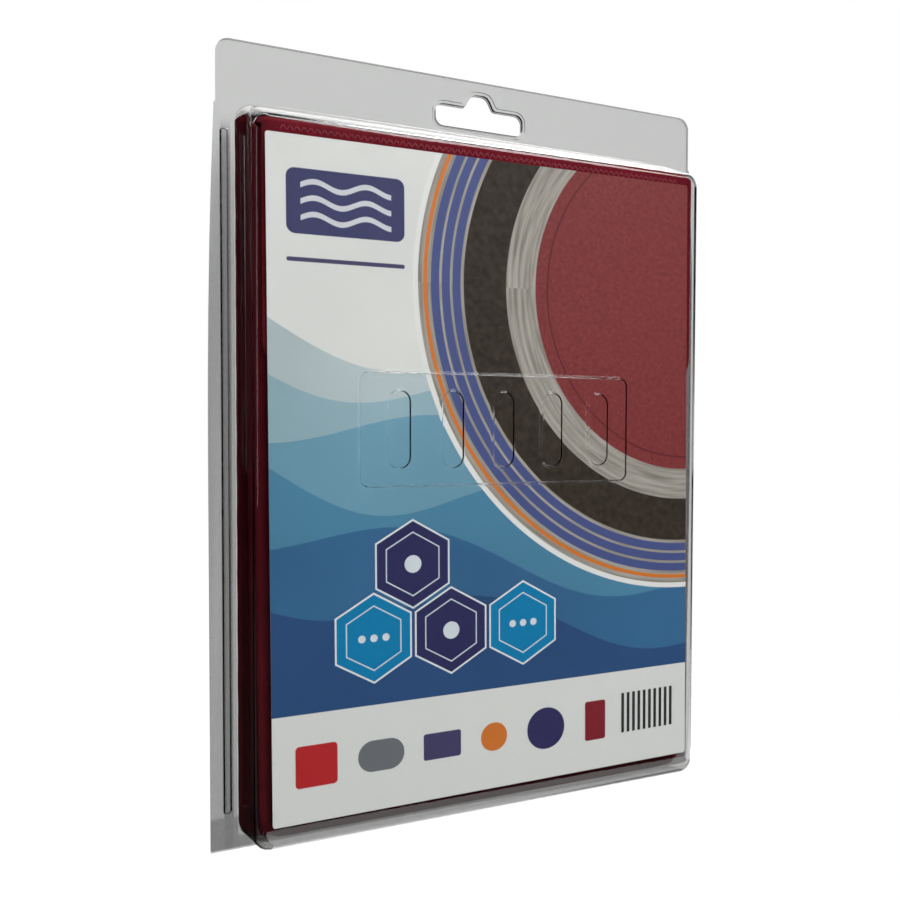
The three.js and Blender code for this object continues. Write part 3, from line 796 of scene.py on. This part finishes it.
def part_way(distance, span):
    """How much of the span a distance covers, from 0 to 1."""
    return np.clip(distance / span, 0, 1)


def ripple(across, height, wave, seed):
    """Gentle seeded unevenness from -1 to 1."""
    places = zip(across.ravel() / wave, height.ravel() / wave)
    flat = [noise.noise(Vector((a, h, seed))) for a, h in places]
    return np.array(flat).reshape(across.shape) * 1.6


def stations(heights, shares, halves):
    """Places across and heights of a grid whose rows have these half widths."""
    return shares[None, :] * halves[:, None], np.repeat(heights[:, None], len(shares), axis=1)


def panel_grid(half, low, high, low_radius, high_radius, columns, rows, depth_at):
    """Grid of a panel inside a rounded rectangle; depth_at(across, height) gives its depth."""
    heights = spread(low, high, rows, min(14.0, (high - low) / 4), 12)
    shares = spread(-1.0, 1.0, columns, 0.16, 12)
    halves = half_at(heights, half, low, high, low_radius, high_radius)
    across, height = stations(heights, shares, halves)
    return np.stack([across, depth_at(across, height), height], axis=-1)


def edge_reach(across, height, half, low, high):
    """Distance in from the nearest of the side, bottom and top edges."""
    return np.minimum(np.minimum(half - np.abs(across), height - low), high - height)


# Wallet cover
def cover_back(material):
    """The back panel: flat at its hem, faintly uneven within."""
    hem, passage = 2.0, 8.0

    def depth_at(across, height):
        reach = edge_reach(across, height, COVER_HALF, COVER_LOW, COVER_BACK_TOP)
        swell = 0.16 * ripple(across, height, 22.0, 1.0) + 0.08 * ripple(across, height, 8.0, 2.0)
        return COVER_BACK_PANEL[1] + part_way(reach - hem, passage) * np.clip(swell - 0.2, -0.42, 0.12)

    sides = (COVER_HALF, COVER_LOW, COVER_BACK_TOP, COVER_CORNER, COVER_BACK_CORNER)
    grid = panel_grid(*sides, 60, 80, depth_at)
    piece = cloth_piece("cover_back_cloth", grid, COVER_CLOTH, material)
    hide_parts("cover_back_panel")


def cover_wall(steps=6):
    """(out, up) points of the front panel's drawn wall, out from its face and up from its
    seam lap."""
    run, rise = COVER_WALL_HALF - COVER_FACE_HALF, COVER_RISE
    fillet, bend = COVER_SHOULDER, COVER_SEAM_BEND
    reach = math.hypot(run, rise - fillet)
    wall = math.atan2(rise - fillet, run) + math.asin(fillet / reach)
    points = []
    for step in range(steps + 1):
        angle = wall * step / steps
        points.append((fillet * math.sin(angle), rise - fillet * (1 - math.cos(angle))))
    foot = run + bend * math.tan(wall / 2)
    for step in range(steps + 1):
        angle = math.pi / 2 - wall + wall * step / steps
        points.append((foot - bend * math.cos(angle), bend * (1 - math.sin(angle))))
    return np.array(points)


def cover_front_depth(across, height):
    """Depth of the front panel's outer face: flat seam lap, drawn wall, rounded shoulder,
    and a face with the pouch's channels faintly through it. The seam puckers the wall."""
    section = cover_wall()
    corner = COVER_CORNER
    side_out = np.abs(across) - COVER_FACE_HALF
    low_out = COVER_WALL_LOW + COVER_WALL_HALF - COVER_FACE_HALF - height
    out = np.where(
        (side_out > -corner) & (low_out > -corner),
        np.hypot(np.maximum(side_out + corner, 0), np.maximum(low_out + corner, 0)) - corner,
        np.maximum(side_out, low_out),
    )
    up = np.interp(np.maximum(out, 0), section[:, 0], section[:, 1])
    seam_out, seam_reach, turns, deepest, highest = 3.6, 1.6, 1.15, 0.22, 0.1
    near_seam = np.exp(-((np.maximum(side_out, 0) - seam_out) / seam_reach) ** 2)
    pucker = np.minimum(deepest * np.sin(height * turns) * near_seam, highest)
    pucker = np.where(up < COVER_RISE * 0.9, pucker, 0)
    rim, rim_fade, mouth, mouth_fade = 2, 10, 6, 8
    inner = part_way(-out - rim, rim_fade) * part_way(COVER_MOUTH - mouth - height, mouth_fade)
    quilt = np.cos(across * CHANNELS * math.pi / (POUCH_HALF - CHANNEL_MARGIN)) ** 8
    sink = inner * (0.10 * quilt + 0.08 * np.abs(ripple(across, height, 18.0, 5.0)))
    return COVER_SEAM_DEPTH + up - sink + pucker * (up > 0.5)


def cover_front(material):
    """The front panel. Its side walls climb past the mouth to the flap's spine."""
    mouth_hem, lap_end, wall_end, margin = 8, 2.2, 7.4, 20
    below_mouth = COVER_MOUTH - mouth_hem
    heights = np.concatenate([
        np.linspace(COVER_LOW, COVER_WALL_FOOT, 16)[:-1],
        np.linspace(COVER_WALL_FOOT, below_mouth, 60)[:-1],
        np.linspace(below_mouth, COVER_MOUTH, 6),
    ])
    edge = np.concatenate([
        np.linspace(0, lap_end, 3)[:-1],
        np.linspace(lap_end, wall_end, 16)[:-1],
        np.linspace(wall_end, margin, 5),
    ])
    middle = np.linspace(margin - COVER_HALF, COVER_HALF - margin, 44)[1:-1]
    shares = np.concatenate([edge - COVER_HALF, middle, (COVER_HALF - edge)[::-1]]) / COVER_HALF
    halves = half_at(heights, COVER_HALF, COVER_LOW, COVER_MOUTH, COVER_CORNER, SQUARE_CORNER)
    across, height = stations(heights, shares, halves)
    depths = COVER_SEAM_DEPTH - COVER_CLOTH, COVER_FRONT_PANEL[0]
    depth = cover_front_depth(across, 0 * across + CLOSURE_LOW)
    top = np.interp(depth, depths, (COVER_WALL_TOP, COVER_MOUTH))
    climb = np.maximum(height - COVER_WALL_FOOT, 0) / (COVER_MOUTH - COVER_WALL_FOOT)
    height = np.minimum(height, COVER_WALL_FOOT) + climb * (top - COVER_WALL_FOOT)
    grid = np.stack([across, cover_front_depth(across, height), height], axis=-1)
    piece = cloth_piece("cover_front_cloth", grid, COVER_CLOTH, material)
    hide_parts("cover_front_panel")


def flap_path():
    """(depth, height) points of the flap's outer face, from the back panel over the fold,
    along the spine, round the shoulder and down the leaf."""
    radius, steps = FLAP_SHOULDER_RADIUS, 8
    slope = math.atan2(FLAP_FOLD[1] - FLAP_SHOULDER, FLAP_FRONT - FLAP_FOLD[0])
    bend = math.pi / 2 - slope
    centre = (FLAP_FRONT - radius, FLAP_SHOULDER - radius * math.tan(bend / 2))
    shoulder = []
    for step in range(steps + 1):
        angle = bend * (1 - step / steps)
        shoulder.append((centre[0] + radius * math.cos(angle), centre[1] + radius * math.sin(angle)))
    fold = np.array(FLAP_FOLD)
    run = np.array(shoulder[0]) - fold
    spine = [tuple(fold + run * share) for share in np.linspace(0, 1, 12)[:-1]]
    leaf = [(FLAP_FRONT, height) for height in np.linspace(shoulder[-1][1], FLAP_LOW, 44)[1:]]
    return spine + shoulder + leaf


def flap_grid():
    """The flap's outer face. Its leaf sags away from the closure that holds it, its spine
    dips, and the spine's side edges are 1 mm wider at the fold and droop."""
    path = np.array(flap_path())[::-1]
    shares = spread(-1.0, 1.0, 50, 0.12, 8)
    above_all, wide_depth, wide_fade = 400.0, 10, 7
    halves = half_at(path[:, 1], FLAP_HALF, FLAP_LOW, above_all, FLAP_CORNER, SQUARE_CORNER)
    halves = halves + part_way(wide_depth - path[:, 0], wide_fade)
    across, height = stations(path[:, 1], shares, halves)
    depth = np.repeat(path[:, :1], len(shares), axis=1)

    leaf_below, leaf_fade, hold_reach, hold_margin, hold_fade = 6, 10, 24, 10, 12
    leaf = part_way(FLAP_SHOULDER - leaf_below - height, leaf_fade)
    held = np.clip(1 - np.abs(height - CLOSURE_LOW - CLOSURE_HEIGHT / 2) / hold_reach, 0, 1)
    held = held * part_way(CLOSURE_HALF + hold_margin - np.abs(across), hold_fade)
    sag = leaf * (0.25 + 0.75 * (1 - held)) * (0.12 + 0.28 * np.abs(ripple(across, height, 26.0, 7.0)))
    rear, front, end_fade, edge_fade, droop_fade, front_fade = 3, 15.5, 3, 3, 5, 1.5
    spine = part_way(depth - rear, end_fade) * part_way(front - depth, end_fade)
    dip = spine * (0.35 + 0.35 * ripple(across, depth * 4, 14.0, 9.0))
    droop = np.clip((np.abs(across) - FLAP_HALF + edge_fade) / edge_fade, 0, 1.2) ** 2
    droop = droop * part_way(depth - rear, droop_fade) * part_way(FLAP_FRONT - depth, front_fade)
    drop = np.clip(dip, 0, 0.8) + FLAP_DROOP * droop
    return np.stack([across, depth - np.minimum(sag, 0.3 + 0.6 * (1 - held)), height - drop], axis=-1)


def cover_flap(material):
    piece = cloth_piece("cover_flap_cloth", flap_grid(), FLAP_CLOTH, material, "wallet_flap")
    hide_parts("cover_flap")


def fold_cloth(material):
    """The cover's cloth between the back panel and the flap."""
    shares = np.linspace(-1, 1, 41)
    grid = np.array([[(share * FOLD_HALF, d, h) for share in shares] for d, h in FOLD_LINE])
    piece = cloth_piece("cover_fold_cloth", grid, FOLD_CLOTH, material, None, flip=True)
    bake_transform(piece)


# Tapes
def tape_section(depths, lip, flare):
    """(out, depth) points of a tape's outer face round an edge, back lip to front lip. The
    flare puffs its rear part out."""
    back, front = depths
    web, turn, tuck, skew, calm, passage = REST_GAP + TAPE, 0.45, 0.02, 0.3, 0.6, 1.2
    inner = web - turn
    points = [(-lip, back + tuck), (-lip * 0.5, back), (inner, back)]
    for angle in np.linspace(skew, math.pi / 2, 4):
        points.append((inner + turn * math.sin(angle), back + turn - turn * math.cos(angle)))
    for share in np.linspace(0, 1, 6)[1:-1]:
        points.append((web, back + turn + (front - back - 2 * turn) * share))
    for angle in np.linspace(0, math.pi / 2 - skew, 4):
        points.append((inner + turn * math.cos(angle), front - turn + turn * math.sin(angle)))
    points += [(inner, front), (-lip * 0.5, front), (-lip, front - tuck)]
    puffed = []
    for out, depth in points:
        puff = flare * part_way(out + REST_GAP, web) * part_way(front - calm - depth, passage)
        puffed.append((out + puff, depth))
    return puffed


def tape_piece(place, path, depths, lip, material, slot, flip, seed, flare=0.0):
    """A tape swept along (across, height, out across, out height) stations. The place names
    it and the binding that it replaces."""
    section = tape_section(depths, lip, flare)
    rows = []
    for index, (x, h, out_x, out_h) in enumerate(path):
        sway = TAPE_SWAY * math.sin(index * 0.9 + seed)
        reaches = [(out + (sway if out > 0 else 0), depth) for out, depth in section]
        rows.append([(x + out_x * reach, depth, h + out_h * reach) for reach, depth in reaches])
    piece = cloth_piece(f"{place}_tape", np.array(rows), TAPE_CLOTH, material, flip=flip)
    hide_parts(f"{place}_binding")


def side_path(side, half, low, high, radius, rows=90):
    """Up one side's edge to the top, from its bottom corner, which a radius rounds."""
    path = []
    if radius:
        for step in range(7):
            angle = math.pi / 2 * (1 - step / 6)
            out_x, out_h = side * math.cos(angle), -math.sin(angle)
            across, height = side * (half - radius) + radius * out_x, low + radius + radius * out_h
            path.append((across, height, out_x, out_h))
    heights = np.linspace(low + radius, high, rows)
    for height in heights[1:] if radius else heights:
        path.append((side * half, height, side, 0.0))
    return path


def cross_path(height, half, out, columns=80):
    return [(x, height, 0.0, out) for x in np.linspace(-half, half, columns)]


def bindings(cover_tape, pouch_tape):
    cover = (COVER_TAPE, COVER_TAPE_LIP, cover_tape, "burgundy_tape")
    mouth = (MOUTH_TAPE, MOUTH_TAPE_LIP, cover_tape, "burgundy_tape")
    pouch = (POUCH_DEPTH, POUCH_TAPE_LIP, pouch_tape, "black_tape")
    for word, side in (("left", -1), ("right", 1)):
        path = side_path(side, COVER_HALF, COVER_LOW, COVER_BACK_TOP - COVER_BACK_CORNER, COVER_CORNER)
        tape_piece(f"cover_{word}", path, *cover, side < 0, side, COVER_TAPE_FLARE)
        path = side_path(side, POUCH_HALF, POUCH_LOW, POUCH_TOP, 0)
        tape_piece(f"pouch_{word}", path, *pouch, side < 0, side)
    path = cross_path(COVER_LOW, COVER_HALF - COVER_CORNER - REST_GAP, -1.0)
    tape_piece("cover_bottom", path, *cover, False, 2, COVER_TAPE_FLARE)
    path = cross_path(COVER_MOUTH, MOUTH_TAPE_HALF, 1.0)
    tape_piece("cover_mouth", path, *mouth, True, 3)
    path = cross_path(POUCH_LOW, POUCH_HALF - POUCH_TAPE_LIP - REST_GAP, -1.0)
    tape_piece("pouch_bottom", path, *pouch, False, 4)


# Closure and pouch
def closure_pad(place, depths, material, body, seed):
    """A strip of hooks or loops, with fuzz on its outer face."""
    sides = (CLOSURE_HALF, CLOSURE_LOW, CLOSURE_LOW + CLOSURE_HEIGHT)
    passage, drop, fuzz, wave, thinner = 1.2, 0.12, 0.03, 1.6, 0.15

    def depth_at(across, height):
        edge = part_way(edge_reach(across, height, *sides), passage)
        return depths[1] - drop * (1 - edge) + fuzz * ripple(across, height, wave, seed) * edge

    grid = panel_grid(*sides, CLOSURE_CORNER, CLOSURE_CORNER, 90, 16, depth_at)
    piece = cloth_piece(f"{place}_pad", grid, depths[1] - depths[0] - thinner, material, body)
    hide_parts(f"{place}_strip")


def swell_at(across, height):
    """How full a quilted channel is, from 0 at its seams to 1 along its middle."""
    quilted = POUCH_HALF - CHANNEL_MARGIN
    pitch = 2 * quilted / CHANNELS
    ends = part_way(np.minimum(height - POUCH_LOW, POUCH_TOP - height) - CHANNEL_END, CHANNEL_TAPER)
    ends = ends * ends * (3 - 2 * ends)
    channel = np.abs(np.sin(np.pi * (across + quilted) / pitch)) ** 1.4
    return np.where(np.abs(across) < quilted, ends * channel, 0)


def quilted_ply(panel, layer, seam, way, material):
    """One ply: seam is the depth of its back face where sewn, way its swell's direction."""
    crease, wave, skin, thinner = 0.08, 7.0, 0.02, 0.06

    def depth_at(across, height):
        crinkle = crease * np.abs(ripple(across * 2.2, height, wave, seam))
        full = swell_at(across, height)
        return seam + POUCH_PLY - skin + way * (CHANNEL_SWELL * full * 0.97 - crinkle * full)

    grid = panel_grid(POUCH_HALF, POUCH_LOW, POUCH_TOP, POUCH_CORNER, POUCH_CORNER, 86, 70, depth_at)
    piece = cloth_piece(f"pouch_{panel}_{layer}_cloth", grid, POUCH_PLY - thinner, material)
    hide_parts(f"pouch_{panel}_panel_{layer}_ply")


def pouch(material):
    for panel, back in POUCH_PANELS.items():
        seam = back + CHANNEL_SWELL
        quilted_ply(panel, "back", seam, -1, material)
        quilted_ply(panel, "front", seam + POUCH_PLY + SEAM_GAP, 1, material)


# Stitches
def stitches(name, runs, radius, material, body="pack_back"):
    """Sewn thread: each (start, end) in millimetres is one stitch, half sunk in the cloth."""
    starts, ends = (to_row(points) for points in zip(*runs))
    sides = 5
    along = ends - starts
    length = np.linalg.norm(along, axis=1, keepdims=True)
    along = along / length
    across = np.cross(along, np.where(np.abs(along[:, 2:]) > 0.8, [1.0, 0, 0], [0, 0, 1.0]))
    across /= np.linalg.norm(across, axis=1, keepdims=True)
    other = np.cross(along, across)
    vertices, faces = [], []
    for i in range(len(runs)):
        base = len(vertices)
        vertices.append(starts[i])
        for share, thick in ((0.12, 0.6), (0.5, 1.0), (0.88, 0.6)):
            middle = starts[i] + along[i] * length[i] * share
            for side in range(sides):
                angle = 2 * math.pi * side / sides
                out = across[i] * math.cos(angle) + other[i] * math.sin(angle)
                vertices.append(middle + out * radius * thick * MM)
        vertices.append(ends[i])
        for side in range(sides):
            follow = (side + 1) % sides
            faces.append((base, base + 1 + follow, base + 1 + side))
            for ring in range(2):
                a = base + 1 + ring * sides
                faces.append((a + side, a + follow, a + sides + follow, a + sides + side))
            last = base + 1 + 2 * sides
            faces.append((last + side, last + follow, last + sides))
    piece = make_piece(name, vertices, faces, material, body, crease=180.0)


def spaced(reach, pitch):
    """Places along a reach."""
    return np.arange(reach[0], reach[1] + 0.01, pitch)


def zigzag(seam, reach, point_at):
    """Stitches that swing across a line; point_at(place, swing) gives a point."""
    pitch, swing = seam
    path = spaced(reach, pitch)
    runs = []
    for index in range(len(path) - 1):
        way = swing / 2 if index % 2 else -swing / 2
        runs.append((point_at(path[index], way), point_at(path[index + 1], -way)))
    return runs


def dashes(reach, point_at):
    """A run of straight stitches."""
    half = RUN_LENGTH / 2
    return [(point_at(place - half), point_at(place + half)) for place in spaced(reach, RUN_PITCH)]


def wall_point(side):
    """Places on the cover's side wall, for a zigzag up it."""
    section = cover_wall()
    outs = np.linspace(0, 5.2, 60)
    ups = np.interp(outs, section[:, 0], section[:, 1])

    def point(height, swing):
        depth = WALL_SEAM_DEPTH + swing
        out = float(np.interp(COVER_SEAM_DEPTH - depth, -ups, outs))
        return (side * (COVER_FACE_HALF + out), depth, height)
    return point


def sew_back(material):
    """Overcast edges and a straight seam along each hem of the back panel."""
    back, hem = COVER_TAPE[0], COVER_BACK_PANEL[0] - HEM_SUNK
    edge, low = COVER_HALF - OVERCAST_IN, COVER_LOW + OVERCAST_IN
    lines = []
    for side in (-1, 1):
        lines += zigzag(OVERCAST, OVERCAST_SIDE, lambda h, s: (side * (edge + s), back, h))
        lines += dashes(SIDE_RUN, lambda h: (side * (COVER_HALF - RUN_IN), hem, h))
    lines += zigzag(OVERCAST, OVERCAST_FOOT, lambda x, s: (x, back, low + s))
    for height in (COVER_LOW + RUN_IN, COVER_BACK_TOP - BACK_RUN_BELOW):
        lines += dashes(BACK_RUN, lambda x: (x, hem, height))
    stitches("cover_back_stitches", lines, BACK_THREAD, material)


def sew_pad(depth):
    """The two straight seams that hold a closure strip."""
    lines = []
    for height in (CLOSURE_LOW + PAD_RUN_IN, CLOSURE_LOW + CLOSURE_HEIGHT - PAD_RUN_IN):
        lines += dashes(PAD_RUN, lambda x: (x, depth, height))
    return lines


def sew_cover(material, bright):
    for word, side in (("left", -1), ("right", 1)):
        lines = zigzag(WALL_SEAM, WALL_SEAM_REACH, wall_point(side))
        stitches(f"cover_{word}_stitches", lines, WALL_THREAD, material)
    sew_back(material)
    depth, mouth = MOUTH_TAPE[1] - SUNK, COVER_MOUTH - MOUTH_SEAM_BELOW
    lines = zigzag(MOUTH_SEAM, MOUTH_SEAM_REACH, lambda x, s: (x, depth, mouth + s))
    lines += sew_pad(LOOP_STRIP[1] - PAD_SUNK)
    stitches("cover_front_stitches", lines, MOUTH_THREAD, material)
    front, shoulder = FLAP_FRONT - SUNK, SHOULDER_SEAM_HEIGHT
    lines = zigzag(SHOULDER_SEAM, SHOULDER_SEAM_REACH, lambda x, s: (x, front, shoulder + s))
    stitches("flap_shoulder_stitches", lines, SHOULDER_THREAD, bright, "wallet_flap")
    leaf, low = FLAP_FRONT - LEAF_SUNK, FLAP_LOW + LEAF_RUN_UP
    lines = dashes(LEAF_RUN, lambda x: (x, leaf, low)) + sew_pad(HOOK_STRIP[0] + PAD_SUNK)
    stitches("flap_stitches", lines, LEAF_THREAD, material, "wallet_flap")


# The clear shells, the card and the crystals
def soften(node):
    """Smooth shading across a shell's small facets, with its true edges kept."""
    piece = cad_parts[node]
    weld = piece.modifiers.new("weld", "WELD")
    weld.merge_threshold = 1e-6
    split = piece.modifiers.new("split", "EDGE_SPLIT")
    split.split_angle = math.radians(32)
    even = piece.modifiers.new("even", "WEIGHTED_NORMAL")
    even.weight = 100
    even.keep_sharp = True
    piece.data.shade_smooth()


def dress(node, material):
    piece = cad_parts[node]
    piece.material_slots[0].material = material


make_camera()
make_studio()

clear = clear_plastic("clear_plastic", (0.81, 0.815, 0.81), (0.62, 0.62, 0.62), (0.97, 0.97, 0.97), 0.12)
for name in ("front_shell", "back_shell"):
    dress(name, clear)
    soften(name)
dress("insert_card", printed_card())

crystals = granular("gel_crystals")
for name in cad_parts:
    if name.startswith("gel_charge"):
        dress(name, crystals)

# The burgundy cloth and tape carry painted edge shade along the sides and foot.
cloth = woven("burgundy_cloth", srgb(132, 36, 48), srgb(74, 14, 24), 0.55, painted_edge_shade=0.85)
tape = woven("burgundy_tape", srgb(112, 26, 38), srgb(60, 8, 18), 0.4, thread_bump=0.7, painted_edge_shade=0.8)
black = woven("black_cloth", (0.03, 0.028, 0.028), (0.006, 0.006, 0.006), 0.5, sheen_tint=(1, 1, 1))
black_tape = woven("black_tape", (0.025, 0.024, 0.024), (0.005, 0.005, 0.005), 0.4, sheen_tint=(1, 1, 1))
sewing = thread("sewing_thread", srgb(150, 60, 72), srgb(96, 26, 40))

cover_back(cloth)
cover_front(cloth)
hook = velvety("hook_nylon", srgb(96, 22, 34), srgb(40, 6, 12), 1800.0)
loop = velvety("loop_nylon", srgb(116, 28, 42), srgb(62, 12, 22), 900.0)
closure_pad("front_loop", LOOP_STRIP, loop, "pack_back", 3.0)
closure_pad("flap_hook", HOOK_STRIP, hook, "wallet_flap", 4.0)
cover_flap(cloth)
fold_cloth(cloth)
bindings(tape, black_tape)
pouch(black)
sew_cover(sewing, thread("shoulder_thread", srgb(160, 66, 76), srgb(112, 36, 48)))
